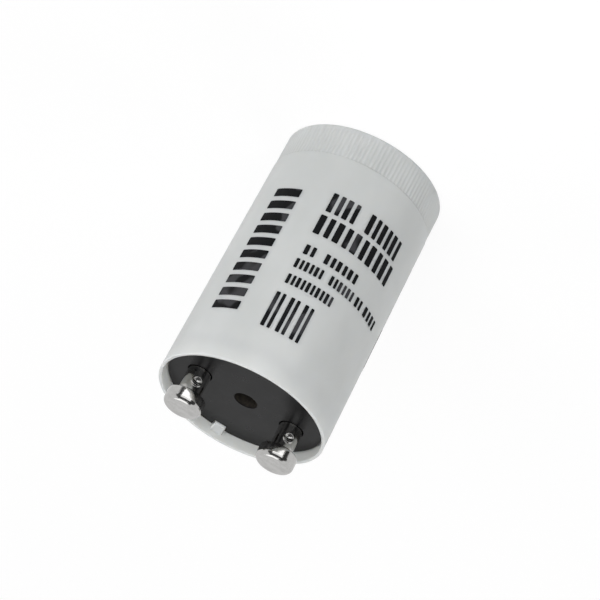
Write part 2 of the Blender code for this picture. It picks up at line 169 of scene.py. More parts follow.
class StarterColours(bpy.types.PropertyGroup):
    """Colours of the finishes."""
    can: colour("Can", "White plastic of the can", (0.66, 0.675, 0.67))
    can_shade: colour("Can, darker", "Darker tone of the white plastic", (0.62, 0.637, 0.632))
    plate: colour("Plate", "Black plastic of the plate", (0.008, 0.008, 0.0085))
    plate_shade: colour("Plate, lighter", "Lighter tone of the black plastic", (0.011, 0.011, 0.0116))
    nickel: colour("Nickel", "Bright plating of the pins", (0.585, 0.58, 0.57))
    nickel_shade: colour("Nickel, darker", "Darker tone of the plating", (0.50, 0.495, 0.485))
    dust: colour("Dust", "Dust on the black plastic", (0.03, 0.029, 0.028))
    vent_wall: colour("Vent wall", "Cut edge inside the hole of the plate", (0.034, 0.030, 0.024))
    vent_wall_dark: colour("Vent wall, darker", "Darker tone of the cut edge", (0.018, 0.016, 0.015))
    ink: colour("Ink", "Ink of the print", (0.005, 0.0055, 0.006))
    ink_thin: colour("Ink, thin", "Ink where it lies thin", (0.048, 0.048, 0.051))
    resin: colour("Resin", "Coat of the capacitor", (0.30, 0.12, 0.05))
    bimetal: colour("Bimetal", "Bimetal strip", (0.50, 0.46, 0.40))
    wire: colour("Wire", "Tinned wire", (0.62, 0.62, 0.60))
    electrode: colour("Electrode", "Bare nickel rod", (0.55, 0.54, 0.52))
    glass: colour("Glass", "Glass of the lamp", (0.93, 0.96, 0.95))
    glass_film: colour("Glass, filmed", "Glass where a film dulls it", (0.86, 0.90, 0.88))


class StarterCamera(bpy.types.PropertyGroup):
    """Where the camera stands."""
    azimuth: angle("Azimuth", "Direction from the axis of the can, 0 at -Y", 8.42)
    elevation: angle("Elevation", "Height over the horizon", 28.332)
    roll: angle("Roll", "Turn about the line of sight", -152.1)
    distance: length("Distance", "From the camera to the point that it aims at", 362.617)
    aim_height: length("Aim height", "Height of the point that it aims at", 20.0)
    side_step: length("Side step", "Sideways, in the picture", 0.483)
    rise: length("Rise", "Upwards, in the picture", 0.708)
    lens: FloatProperty(name="Lens", description="Focal length in millimetres", default=181.378,
                        unit="CAMERA")
    sensor: FloatProperty(name="Sensor", description="Sensor width in millimetres", default=36.0,
                          unit="CAMERA")


# Node trees of the finishes

# Distance between the rings of the wave texture at a scale of 1
RING_PITCH = 0.314


def new_material(name):
    """Empty material with a Principled BSDF. Returns the material, its tree and the shader."""
    material = bpy.data.materials.new(name)
    material.use_nodes = True
    tree = material.node_tree
    return material, tree, tree.nodes["Principled BSDF"]


def object_space(tree, stretch=(1.0, 1.0, 1.0)):
    """Coordinates of the piece, stretched along its axes."""
    place = tree.nodes.new("ShaderNodeTexCoord")
    mapping = tree.nodes.new("ShaderNodeMapping")
    mapping.inputs["Scale"].default_value = stretch
    tree.links.new(place.outputs["Object"], mapping.inputs["Vector"])
    return mapping.outputs["Vector"]


def noise(tree, size, detail=3.0, stretch=(1.0, 1.0, 1.0)):
    """Noise whose blotches are about this size, in metres."""
    cloud = tree.nodes.new("ShaderNodeTexNoise")
    cloud.inputs["Scale"].default_value = 1.0 / size
    cloud.inputs["Detail"].default_value = detail
    tree.links.new(object_space(tree, stretch), cloud.inputs["Vector"])
    return cloud.outputs["Fac"]


def rings(tree, pitch):
    """Turning marks about the piece's own Z axis, this far apart."""
    wave = tree.nodes.new("ShaderNodeTexWave")
    wave.wave_type = "RINGS"
    wave.rings_direction = "Z"
    wave.inputs["Scale"].default_value = RING_PITCH / pitch
    wave.inputs["Distortion"].default_value = 1.0
    wave.inputs["Detail"].default_value = 2.0
    tree.links.new(object_space(tree), wave.inputs["Vector"])
    return wave.outputs["Fac"]


def spread(tree, value, low, high, start=0.3, end=0.7):
    """Map the values from start to end onto the range from low to high."""
    remap = tree.nodes.new("ShaderNodeMapRange")
    remap.inputs["From Min"].default_value = start
    remap.inputs["From Max"].default_value = end
    remap.inputs["To Min"].default_value = low
    remap.inputs["To Max"].default_value = high
    tree.links.new(value, remap.inputs["Value"])
    return remap.outputs["Result"]


def blend(tree, value, first, second, start=0.35, end=0.65):
    """Colour between two colours. Either one may be a socket."""
    mix = tree.nodes.new("ShaderNodeMix")
    mix.data_type = "RGBA"
    tree.links.new(spread(tree, value, 0.0, 1.0, start, end), mix.inputs["Factor"])
    for socket, tone in ((mix.inputs[6], first), (mix.inputs[7], second)):
        if isinstance(tone, bpy.types.NodeSocket):
            tree.links.new(tone, socket)
        else:
            socket.default_value = (*tone, 1.0)
    return mix.outputs[2]


def bump(tree, height, distance, strength=1.0, under=None):
    """Relief of this height, in metres, over another one."""
    relief = tree.nodes.new("ShaderNodeBump")
    relief.inputs["Strength"].default_value = strength
    relief.inputs["Distance"].default_value = distance
    tree.links.new(height, relief.inputs["Height"])
    if under:
        tree.links.new(under, relief.inputs["Normal"])
    return relief.outputs["Normal"]


def white_plastic(colours):
    """Satin white moulding with faint flow clouds, a fine grain and long draw marks."""
    material, tree, shader = new_material("satin_white_plastic")
    clouds = noise(tree, size=6 * MM, stretch=(1.0, 1.0, 0.5))
    tree.links.new(blend(tree, clouds, colours.can, colours.can_shade), shader.inputs["Base Color"])
    satin = spread(tree, noise(tree, size=1.6 * MM), low=0.36, high=0.48)
    tree.links.new(satin, shader.inputs["Roughness"])
    grain = bump(tree, noise(tree, size=0.12 * MM, detail=2.0), distance=0.004 * MM, strength=0.6)
    marks = noise(tree, size=0.25 * MM, detail=2.0, stretch=(1.0, 1.0, 0.03))
    drawn = bump(tree, marks, distance=0.003 * MM, strength=0.5, under=grain)
    tree.links.new(drawn, shader.inputs["Normal"])
    shader.inputs["IOR"].default_value = 1.46
    shader.inputs["Subsurface Weight"].default_value = 1.0
    shader.inputs["Subsurface Radius"].default_value = (1.0, 0.96, 0.9)
    shader.inputs["Subsurface Scale"].default_value = 1.0 * MM
    return material


def vent_wall(tree):
    """1 on the wall of the hole in the middle of the plate, and 0 elsewhere."""
    axes = tree.nodes.new("ShaderNodeSeparateXYZ")
    tree.links.new(object_space(tree), axes.inputs[0])
    flat = tree.nodes.new("ShaderNodeCombineXYZ")
    tree.links.new(axes.outputs["X"], flat.inputs["X"])
    tree.links.new(axes.outputs["Y"], flat.inputs["Y"])
    away = tree.nodes.new("ShaderNodeVectorMath")
    away.operation = "LENGTH"
    tree.links.new(flat.outputs[0], away.inputs[0])
    inside = spread(tree, away.outputs["Value"], low=1.0, high=0.0,
                    start=VENT_RADIUS + 0.02 * MM, end=VENT_RADIUS + 0.05 * MM)
    deep = spread(tree, axes.outputs["Z"], low=1.0, high=0.0,
                  start=PLATE_TOP - 0.2 * MM, end=PLATE_TOP - 0.06 * MM)
    both = tree.nodes.new("ShaderNodeMath")
    both.operation = "MULTIPLY"
    tree.links.new(inside, both.inputs[0])
    tree.links.new(deep, both.inputs[1])
    return both.outputs[0]


def black_plastic(colours):
    """Semi-gloss black plastic with a fine grain, flow clouds, a little dust and a paler cut edge."""
    material, tree, shader = new_material("semi_gloss_black_plastic")
    tone = blend(tree, noise(tree, size=2.5 * MM, detail=4.0), colours.plate, colours.plate_shade)
    specks = noise(tree, size=0.16 * MM, detail=1.0)
    dusty = blend(tree, specks, tone, colours.dust, start=0.74, end=0.80)
    raw = blend(tree, noise(tree, size=0.5 * MM), colours.vent_wall, colours.vent_wall_dark)
    whole = blend(tree, vent_wall(tree), dusty, raw, start=0.2, end=0.8)
    tree.links.new(whole, shader.inputs["Base Color"])
    sheen = spread(tree, noise(tree, size=1.2 * MM), low=0.27, high=0.32)
    tree.links.new(sheen, shader.inputs["Roughness"])
    grain = bump(tree, noise(tree, size=0.1 * MM, detail=2.0), distance=0.003 * MM, strength=0.4)
    waves = noise(tree, size=2.0 * MM, detail=1.0)
    uneven = bump(tree, waves, distance=0.01 * MM, strength=0.4, under=grain)
    tree.links.new(uneven, shader.inputs["Normal"])
    shader.inputs["Specular IOR Level"].default_value = 0.13
    return material


def nickel_plate(colours):
    """Bright plating over a drawn pin, with turning marks, shallow dents and dull patches."""
    material, tree, shader = new_material("bright_nickel_plate")
    tone = blend(tree, noise(tree, size=0.9 * MM, detail=4.0), colours.nickel, colours.nickel_shade,
                 start=0.4, end=0.75)
    tree.links.new(tone, shader.inputs["Base Color"])
    shader.inputs["Metallic"].default_value = 1.0
    dull = spread(tree, noise(tree, size=0.5 * MM, detail=4.0), low=0.07, high=0.2)
    tree.links.new(dull, shader.inputs["Roughness"])
    marks = bump(tree, rings(tree, pitch=0.11 * MM), distance=0.001 * MM, strength=0.25)
    dents = bump(tree, noise(tree, size=0.55 * MM, detail=2.0), distance=0.022 * MM, strength=0.5,
                 under=marks)
    tree.links.new(dents, shader.inputs["Normal"])
    return material


def print_ink(colours):
    """Pad-printed ink, thin in patches."""
    material, tree, shader = new_material("pad_printed_ink")
    patches = noise(tree, size=3.2 * MM, detail=1.0)
    tone = blend(tree, patches, colours.ink, colours.ink_thin, start=0.56, end=0.62)
    tree.links.new(tone, shader.inputs["Base Color"])
    matt = spread(tree, noise(tree, size=0.4 * MM), low=0.4, high=0.6)
    tree.links.new(matt, shader.inputs["Roughness"])
    grain = bump(tree, noise(tree, size=0.09 * MM, detail=2.0), distance=0.003 * MM)
    tree.links.new(grain, shader.inputs["Normal"])
    shader.inputs["Specular IOR Level"].default_value = 0.08
    return material


def lamp_glass(colours):
    """Blown glass with a slow ripple and a faint film."""
    material, tree, shader = new_material("blown_glass")
    tone = blend(tree, noise(tree, size=2.0 * MM), colours.glass, colours.glass_film)
    tree.links.new(tone, shader.inputs["Base Color"])
    film = spread(tree, noise(tree, size=1.0 * MM), low=0.02, high=0.08)
    tree.links.new(film, shader.inputs["Roughness"])
    ripple = bump(tree, noise(tree, size=2.5 * MM, detail=1.0), distance=0.03 * MM, strength=0.5)
    tree.links.new(ripple, shader.inputs["Normal"])
    shader.inputs["Transmission Weight"].default_value = 1.0
    shader.inputs["IOR"].default_value = 1.5
    return material


def shaded(tone, share):
    """Darker tone of a colour."""
    return tuple(share * part for part in tone)


def drawn_metal(name, tone, rough, stretch=(1.0, 1.0, 1.0)):
    """Bare or tinned metal with streaks along the way it was drawn or rolled."""
    material, tree, shader = new_material(name)
    streaks = noise(tree, size=0.15 * MM, stretch=stretch)
    tree.links.new(blend(tree, streaks, tuple(tone), shaded(tone, 0.75)), shader.inputs["Base Color"])
    shader.inputs["Metallic"].default_value = 1.0
    patches = spread(tree, noise(tree, size=0.4 * MM), low=rough - 0.08, high=rough + 0.08)
    tree.links.new(patches, shader.inputs["Roughness"])
    tree.links.new(bump(tree, streaks, distance=0.003 * MM), shader.inputs["Normal"])
    return material


def brown_resin(colours):
    """Dipped resin coat, thicker in places, with a slight orange peel."""
    material, tree, shader = new_material("dipped_brown_resin")
    coat = blend(tree, noise(tree, size=2.0 * MM), colours.resin, shaded(colours.resin, 0.55))
    tree.links.new(coat, shader.inputs["Base Color"])
    gloss = spread(tree, noise(tree, size=0.8 * MM), low=0.18, high=0.34)
    tree.links.new(gloss, shader.inputs["Roughness"])
    peel = bump(tree, noise(tree, size=0.6 * MM, detail=2.0), distance=0.02 * MM, strength=0.6)
    tree.links.new(peel, shader.inputs["Normal"])
    return material


# Meshes

def add_piece(name, mesh, material, replaced=()):
    """Show a mesh as a piece of the starter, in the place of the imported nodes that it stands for."""
    piece = bpy.data.objects.new(name, mesh)
    bpy.context.scene.collection.objects.link(piece)
    mesh.materials.append(material)
    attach(piece, "root")
    if replaced:
        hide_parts(*replaced)
    return piece


def dress_node(name, material):
    """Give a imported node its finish."""
    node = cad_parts[name]
    if node.material_slots:
        node.material_slots[0].material = material
    else:
        node.data.materials.append(material)


def turned_mesh(name, rows, columns, shaped):
    """Closed mesh turned about Z from rows of (radius, level), the first and last on the axis.
    shaped(row, turn, radius, level) gives the radius at each point."""
    points = [(0.0, 0.0, rows[0][1])]
    for row in range(1, len(rows) - 1):
        radius, level = rows[row][:2]
        for column in range(columns):
            turn = 2 * math.pi * column / columns
            reach = shaped(row, turn, radius, level)
            points.append((reach * math.sin(turn), -reach * math.cos(turn), level))
    points.append((0.0, 0.0, rows[-1][1]))
    last = len(points) - 1
    faces = []
    for column in range(columns):
        after = (column + 1) % columns
        faces.append((0, 1 + after, 1 + column))
        for row in range(len(rows) - 3):
            near = 1 + row * columns
            far = near + columns
            faces.append((near + column, near + after, far + after, far + column))
        end = 1 + (len(rows) - 3) * columns
        faces.append((last, end + column, end + after))
    return solid_mesh(name, points, faces)


def solid_mesh(name, points, faces):
    """Closed mesh whose faces all point outwards."""
    mesh = bpy.data.meshes.new(name)
    mesh.from_pydata(points, [], faces)
    shape = bmesh.new()
    shape.from_mesh(mesh)
    bmesh.ops.recalc_face_normals(shape, faces=shape.faces)
    shape.to_mesh(mesh)
    shape.free()
    return mesh


def smooth(mesh, degrees):
    """Smooth shading, with crisp edges where faces meet at more than this angle."""
    mesh.validate()
    mesh.shade_smooth()
    mesh.set_sharp_from_angle(angle=math.radians(degrees))
    return mesh


def arc(centre, radius, start, end, steps):
    """Points of an arc in the (radius, level) plane. Angles are in degrees, 0 outwards, 90 up."""
    turns = [math.radians(start + (end - start) * i / steps) for i in range(steps + 1)]
    return [(centre[0] + radius * math.cos(t), centre[1] + radius * math.sin(t)) for t in turns]


def ease(share):
    """Smooth step from 0 to 1."""
    share = min(max(share, 0.0), 1.0)
    return share * share * (3 - 2 * share)


def can_radius(sizes, level):
    """Outside radius of the drafted wall at a level."""
    return CAN_RADIUS - sizes.draft * (CAN_HEIGHT - level)


def mouth_rows(sizes):
    """Inside of the can, from the middle of its floor up to the lip. A third value in a row says
    how far the key stands out there."""
    seat = PLATE_UNDER - SEAT_GAP
    mouth = CAN_RADIUS - sizes.lip_wall
    floor_radius = can_radius(sizes, sizes.floor) - sizes.wall
    corner = (floor_radius - sizes.floor_round, sizes.floor + sizes.floor_round)
    rows = [(0.0, sizes.floor)] + arc(corner, sizes.floor_round, -90, 0, CAN_CORNER_STEPS)
    rows += [(can_radius(sizes, seat) - sizes.wall, seat), (mouth, seat, sizes.key_depth)]
    key_top = PLATE_TOP + sizes.key_rise
    key_edge = (sizes.key_depth - sizes.key_round, key_top - sizes.key_round)
    rows += [(mouth, level, out) for out, level in arc(key_edge, sizes.key_round, 0, 90, KEY_STEPS)]
    for share in (0.5, 1.0):
        rows.append((mouth, key_top + sizes.key_slope * share, key_edge[0] * (1 - share)))
    lip = (mouth + sizes.lip_edge, CAN_HEIGHT - sizes.lip_edge)
    return rows + arc(lip, sizes.lip_edge, 180, 90, LIP_STEPS)


def outside_rows(sizes):
    """Outside of the can, from the lip down the wall and the grip band to the middle of its end."""
    top = sizes.grip_height
    low = sizes.end_round
    wall = can_radius(sizes, top)
    grip = wall - sizes.grip_inset
    lip = (CAN_RADIUS - sizes.lip_edge, CAN_HEIGHT - sizes.lip_edge)
    rows = arc(lip, sizes.lip_edge, 90, 0, LIP_STEPS)
    for share in (0.8, 0.6, 0.4, 0.2):
        level = top + share * (CAN_HEIGHT - top)
        rows.append((can_radius(sizes, level), level))
    rows.append((wall, top + sizes.runout / 3))
    for step in range(1, RUNOUT_STEPS + 1):
        share = step / RUNOUT_STEPS
        rows.append((grip + sizes.grip_inset * (1 - ease(share)), top - sizes.runout * share))
    for step in range(RUNOUT_STEPS + 1):
        rows.append((grip, low + sizes.runout * (1 - step / RUNOUT_STEPS)))
    return rows + arc((grip - low, low), low, 0, -90, CAN_CORNER_STEPS)[1:] + [(0.0, 0.0)]


def keyed(sizes, turn, radius, out):
    """Radius of the mouth with the key, which stands out this far, at +Y."""
    # Only the third of the mouth round +Y can hold the key
    if -math.cos(turn) < 0.5:
        return radius
    reach = (radius - out) / -math.cos(turn)
    inside = sizes.key_width / 2 - abs(reach * math.sin(turn))
    if inside <= 0:
        return radius
    edge = min(sizes.key_round, out)
    if inside < edge:
        reach += edge - math.sqrt(edge ** 2 - (edge - inside) ** 2)
    return min(reach, radius)


def can_mesh(sizes):
    """Can with rounded ribs round its closed end and the key inside its mouth."""
    inside = mouth_rows(sizes)
    rows = inside + outside_rows(sizes)
    low, top = sizes.end_round, sizes.grip_height

    def shaped(row, turn, radius, level):
        if len(rows[row]) > 2:
            return keyed(sizes, turn, radius, rows[row][2])
        if row < len(inside) or not low < level < top:
            return radius
        ends = ease((level - low) / sizes.runout) * ease((top - level) / sizes.runout)
        groove = (0.5 + 0.5 * math.cos(sizes.rib_count * turn)) ** sizes.rib_shape
        return radius - sizes.rib_depth * ends * groove

    mesh = turned_mesh("can_body", rows, COLUMNS_PER_RIB * sizes.rib_count, shaped)
    return smooth(mesh, CAN_CRISP)


def head_rows(sizes, end, under):
    """Section of a pin's head, from the middle of its end face to the chamfer at the neck."""
    face = PIN_RADIUS - sizes.head_round
    neck = sizes.neck_radius
    rows = [(share * face, end) for share in (0.0, 0.35, 0.7)] + [(face - sizes.head_blend, end)]
    rows += arc((face, end - sizes.head_round), sizes.head_round, 90, 0, HEAD_STEPS)
    rows += [(PIN_RADIUS, (end + under - sizes.head_round) / 2)]
    rows += arc((PIN_RADIUS - sizes.head_edge, under + sizes.head_edge), sizes.head_edge, 0, -90,
                HEAD_EDGE_STEPS)
    return rows + [(neck + sizes.neck_chamfer, under), (neck, under - sizes.neck_chamfer)]


def neck_rows(sizes, under, foot):
    """Neck between the head and its foot in the recess of the plate."""
    rows = []
    for step in range(1, NECK_STEPS):
        level = under + (foot - under) * step / NECK_STEPS
        flare = sizes.neck_foot * ease(1 - (level - foot) / sizes.neck_flare)
        rows.append((sizes.neck_radius + flare, level))
    return rows


def pin_mesh(name, sizes):
    """Hollow pin about its own axis, with a crimp that faces -Y."""
    end = PIN_HIGH.z
    under = end - sizes.head_height
    foot = PLATE_TOP - sizes.neck_sink
    clench = PIN_LOW.z + sizes.clench_height
    head = head_rows(sizes, end, under)
    neck = neck_rows(sizes, under, foot)
    rows = head + neck + [(sizes.neck_radius + sizes.neck_foot, foot), (sizes.shank_radius, foot)]
    rows += [(sizes.shank_radius, clench), (sizes.clench_radius, clench)]
    rows += [(sizes.clench_radius, PIN_LOW.z), (sizes.bore_radius, PIN_LOW.z)]
    rows += [(sizes.bore_radius, end - sizes.crown), (0.0, end - sizes.crown)]
    centre = PLATE_TOP + sizes.crimp_height

    def crimped(row, turn, radius, level):
        if not len(head) <= row < len(head) + len(neck):
            return radius
        around = (turn + math.pi) % (2 * math.pi) - math.pi
        away = math.hypot(radius * around, level - centre)
        if away < sizes.crimp_radius:
            radius -= sizes.crimp_depth * (1 - (away / sizes.crimp_radius) ** 2)
        ridge = (away - sizes.crimp_radius - sizes.crimp_rim_width) / sizes.crimp_rim_width
        if abs(ridge) < 1:
            radius += sizes.crimp_rim * (1 - ridge * ridge) ** 2
        return radius

    return smooth(turned_mesh(name, rows, PIN_COLUMNS, crimped), PIN_CRISP)


def on_rim(edge):
    """Whether an edge of the plate lies on its upper rim."""
    return all(math.hypot(corner.co.x, corner.co.y) > 0.97 * PLATE_HIGH.x and
               corner.co.z > PLATE_TOP - 0.01 * MM for corner in edge.verts)


def plate_mesh(sizes):
    """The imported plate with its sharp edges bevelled."""
    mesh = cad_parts["base_plate"].data.copy()
    mesh.materials.clear()
    shape = bmesh.new()
    shape.from_mesh(mesh)
    bmesh.ops.remove_doubles(shape, verts=shape.verts, dist=PLATE_WELD)
    bmesh.ops.dissolve_limit(shape, angle_limit=math.radians(PLATE_FLAT), verts=shape.verts,
                             edges=shape.edges)
    sharp = [edge for edge in shape.edges
             if len(edge.link_faces) == 2 and edge.calc_face_angle() > math.radians(PLATE_SHARP)]
    rim = [edge for edge in sharp if on_rim(edge)]
    holes = [edge for edge in sharp if edge not in rim]
    for edges, size in ((holes, sizes.plate_bevel), (rim, sizes.plate_rim)):
        edges = [edge for edge in edges if edge.is_valid]
        bmesh.ops.bevel(shape, geom=edges, offset=size, segments=BEVEL_STEPS, profile=0.5,
                        affect="EDGES", clamp_overlap=True)
    bmesh.ops.triangulate(shape, faces=[face for face in shape.faces if len(face.verts) > 4])
    shape.to_mesh(mesh)
    shape.free()
    mesh.name = "plate_body"
    smooth(mesh, PLATE_SHARP)
    for face in mesh.polygons:
        face.use_smooth = abs(face.normal.z) < LEVEL_FACE
    return mesh


# Print: a pair of plain upright strokes with the gap between them, and the gaps between such pairs
PAIR = (1.1, 0.7, 0.9)
GAP = (0.6,)
SIGN_GAP = (1.4,)
WIDE_GAP = (2.6,)

# Each row is the angle at its start and end, from -Y towards +X in degrees, its lower and upper level
# in mm, and the shares of its strokes and gaps in turn
INK_ROWS = (
    (20.6, -39.2, 9.6, 12.4, PAIR + GAP + PAIR + WIDE_GAP + PAIR + GAP + PAIR + GAP + PAIR),
    (21.5, -42.4, 13.0, 15.8, PAIR + GAP + PAIR + GAP + PAIR + GAP + PAIR + GAP + PAIR),
    (20.6, -19.2, 17.55, 18.95, PAIR + WIDE_GAP + PAIR + GAP + PAIR + GAP + PAIR),
    (22.0, -22.4, 19.75, 21.1,
     PAIR + GAP + PAIR + GAP + PAIR + WIDE_GAP + PAIR + GAP + PAIR + GAP + PAIR),
    (-25.4, -31.6, 19.75, 21.1, PAIR),
    (-35.4, -52.4, 19.75, 21.1, PAIR + GAP + PAIR),
    (22.0, -11.0, 22.1, 23.5, PAIR + GAP + PAIR + GAP + PAIR + GAP + PAIR + GAP + PAIR),
    (23.2, -3.4, 24.9, 29.9, PAIR + SIGN_GAP + PAIR + SIGN_GAP + PAIR),
    (-75.0, -90.0, 18.0, 23.6, PAIR + GAP + PAIR),
)

# The long column of strokes: its angles, its levels in mm, and its strokes and gaps in turn
COLUMN_ANGLES = (41.6, 62.4)
COLUMN_LEVELS = (10.4, 28.8)
COLUMN_SHARES = (1.3, 0.75) * 9 + (1.3,)

# A stroke stands this far out of the wall, reaches this far into it and has corners this round
INK_RISE = 0.012 * MM
INK_SINK = 0.03 * MM
INK_CORNER = 0.12 * MM
INK_CORNER_STEPS = 6
INK_STEP = 0.2 * MM


def ink_stroke(points, faces, sizes, angles, levels):
    """Add one stroke of ink, wrapped round the wall, with rounded corners."""
    start, end = sorted(math.radians(turn) for turn in angles)
    low, high = sorted(levels)
    width = (end - start) * CAN_RADIUS
    count = max(INK_CORNER_STEPS, int(width / INK_STEP))
    corner = min(INK_CORNER, width / 3, (high - low) / 3)
    turns = [math.pi / 2 * i / INK_CORNER_STEPS for i in range(INK_CORNER_STEPS)]
    places = [corner * (1 - math.cos(turn)) for turn in turns]
    places += [corner + (width - 2 * corner) * i / count for i in range(count + 1)]
    places += [width - place for place in reversed(places[:INK_CORNER_STEPS])]
    first = len(points)
    for place in places:
        near = min(place, width - place)
        cut = corner - math.sqrt(max(0.0, corner ** 2 - (corner - near) ** 2)) if near < corner else 0.0
        turn = start + place / CAN_RADIUS
        for level, rise in ((low + cut, -INK_SINK), (low + cut, INK_RISE),
                            (high - cut, INK_RISE), (high - cut, -INK_SINK)):
            reach = can_radius(sizes, level) + rise
            points.append((reach * math.sin(turn), -reach * math.cos(turn), level))
    for i in range(len(places) - 1):
        near = first + 4 * i
        far = near + 4
        for side in range(4):
            after = (side + 1) % 4
            faces.append((near + side, far + side, far + after, near + after))
    last = first + 4 * (len(places) - 1)
    faces.append((first, first + 1, first + 2, first + 3))
    faces.append((last + 3, last + 2, last + 1, last))


def stretches(start, end, shares):
    """Start and end of each stroke, where strokes and gaps with these shares fill a length in turn."""
    step = (end - start) / sum(shares)
    place = start
    found = []
    for i, share in enumerate(shares):
        if i % 2 == 0:
            found.append((place, place + share * step))
        place += share * step
    return found


def ink_mesh(sizes):
    """All strokes of the print."""
    points, faces = [], []
    for start, end, low, high, shares in INK_ROWS:
        for angles in stretches(start, end, shares):
            ink_stroke(points, faces, sizes, angles, (low * MM, high * MM))
    low, high = COLUMN_LEVELS
    for levels in stretches(low * MM, high * MM, COLUMN_SHARES):
        ink_stroke(points, faces, sizes, COLUMN_ANGLES, levels)
    return smooth(solid_mesh("print_strokes", points, faces), INK_CRISP)


# Operators

class STARTER_OT_can(bpy.types.Operator):
    """White can with its ribs, lip and key"""
    bl_idname = "starter.can"
    bl_label = "Can"

    def execute(self, context):
        scene = context.scene
        add_piece("can_body", can_mesh(scene.starter_can), white_plastic(scene.starter_colours),
                  ["can"])
        return {"FINISHED"}


class STARTER_OT_print(bpy.types.Operator):
    """Rows of plain ink strokes on the can"""
    bl_idname = "starter.print"
    bl_label = "Print"

    def execute(self, context):
        scene = context.scene
        add_piece("print_strokes", ink_mesh(scene.starter_can), print_ink(scene.starter_colours))
        return {"FINISHED"}


class STARTER_OT_plate(bpy.types.Operator):
    """Black base plate with bevelled holes"""
    bl_idname = "starter.plate"
    bl_label = "Base plate"

    def execute(self, context):
        scene = context.scene
        add_piece("plate_body", plate_mesh(scene.starter_pins), black_plastic(scene.starter_colours),
                  ["base_plate"])
        return {"FINISHED"}


class STARTER_OT_pins(bpy.types.Operator):
    """Two nickel-plated contact pins with crimped necks"""
    bl_idname = "starter.pins"
    bl_label = "Contact pins"

    def execute(self, context):
        scene = context.scene
        metal = nickel_plate(scene.starter_colours)
        for side, sign in PIN_SIDES.items():
            mesh = pin_mesh("pin_" + side, scene.starter_pins)
            pin = add_piece("pin_" + side, mesh, metal, ["contact_pin_" + side])
            pin.location.x = sign * PIN_CENTRE
        return {"FINISHED"}


class STARTER_OT_insides(bpy.types.Operator):
    """Finishes of the lamp, the capacitor and their wires"""
    bl_idname = "starter.insides"
    bl_label = "Lamp and capacitor"

    def execute(self, context):
        colours = context.scene.starter_colours
        glass = lamp_glass(colours)
        upright = (1.0, 1.0, 0.05)
        dress_node("glow_lamp_glass", glass)
        dress_node("glow_lamp_stem", glass)
        dress_node("fixed_electrode", drawn_metal("bare_nickel", colours.electrode, 0.32, upright))
        dress_node("bimetal_strip", drawn_metal("rolled_bimetal", colours.bimetal, 0.38, upright))
        dress_node("capacitor", brown_resin(colours))
        tinned = drawn_metal("tinned_wire", colours.wire, 0.28)
        for name in sorted(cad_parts):
            if "_lead_" in name:
                dress_node(name, tinned)
        return {"FINISHED"}


# Floor: the camera sees its colour and shadow mixed with this share of its glow, and metal sees less
FLOOR_SIZE = 6.0
FLOOR_COLOUR = (0.45, 0.45, 0.45)
FLOOR_GLOW = 1.25
FLOOR_GLOW_SHARE = 0.7
FLOOR_IN_GLOSS = 0.67

# Sky: how bright it lights the starter, and how bright metal sees it
SKY_LEVEL = 0.11
SKY_IN_GLOSS = 0.80

# Soft lamps, this wide: name, place and power in watts. Left and right of the lamps and cards are the
# picture's, where +X is on the left.
LAMP_SIZE = 0.9
LAMPS = (
    ("left_light", (1.24, -0.47, 0.59), 3.8),
    ("low_left_light", (1.3, -0.6, 0.06), 1.3),
    ("front_left_light", (0.71, -1.02, 0.74), 6.1),
    ("front_light", (0.14, -1.25, 0.71), 7.4),
    ("right_light", (-1.24, -0.47, 0.59), 4.1),
    ("top_light", (0.14, -0.43, 1.38), 3.3),
    ("back_left_light", (1.15, 0.75, 0.45), 6.4),
    ("back_right_light", (-1.15, 0.75, 0.45), 9.1),
)

# Cards and flags round the starter that show only in metal and gloss: name, angles from -Y towards
# +X in degrees, distance and height of the near edge, the same of the far edge, and brightness
CARDS = (
    ("front_floor_card", (-20, 40), (0.045, 0.002), (0.30, 0.002), 1.9),
    ("front_card", (-20, 40), (0.30, 0.002), (0.30, 0.18), 1.25),
    ("front_flag", (-21, 41), (0.31, 0.14), (0.31, 0.62), 0.07),
    ("left_floor_flag", (40, 62), (0.045, 0.001), (0.31, 0.001), 0.08),
    ("left_flag", (40, 68), (0.31, 0.0), (0.31, 0.62), 0.07),
    ("right_floor_flag", (-50, -20), (0.045, 0.001), (0.31, 0.001), 0.05),
    ("right_flag", (-52, -20), (0.31, 0.0), (0.31, 0.62), 0.05),
    ("top_left_flag", (68, 180), (0.0, 0.62), (0.42, 0.62), 0.07),
    ("top_right_flag", (-180, -52), (0.0, 0.62), (0.42, 0.62), 0.07),
    ("top_front_flag", (-52, 68), (0.0, 0.62), (0.42, 0.62), 0.07),
)

# White card overhead: its front left and back right corners
TOP_CARD = ((-0.08, -0.07), (0.19, 0.34))
TOP_CARD_HEIGHT = 0.54
TOP_CARD_BRIGHTNESS = 1.8


def area_light(name, place, power):
    """Soft light that faces the starter. Metal shows the cards in its place."""
    lamp = bpy.data.lights.new(name, "AREA")
    lamp.shape = "SQUARE"
    lamp.size = LAMP_SIZE
    lamp.energy = power
    light = bpy.data.objects.new(name, lamp)
    bpy.context.scene.collection.objects.link(light)
    light.location = place
    aim = Vector((0.0, 0.0, CAN_HEIGHT / 2)) - Vector(place)
    light.rotation_euler = aim.to_track_quat("-Z", "Y").to_euler()
    light.visible_glossy = False


def ring_corners(angles, near, far):
    """Corners of a card that stands or lies across a sector round the starter."""
    start, end = (math.radians(turn) for turn in angles)
    return [(reach * math.sin(turn), -reach * math.cos(turn), height)
            for turn, (reach, height) in ((start, near), (end, near), (end, far), (start, far))]


def top_corners():
    """Corners of the card overhead."""
    (left, front), (right, back) = TOP_CARD
    return [(x, y, TOP_CARD_HEIGHT)
            for x, y in ((left, front), (right, front), (right, back), (left, back))]


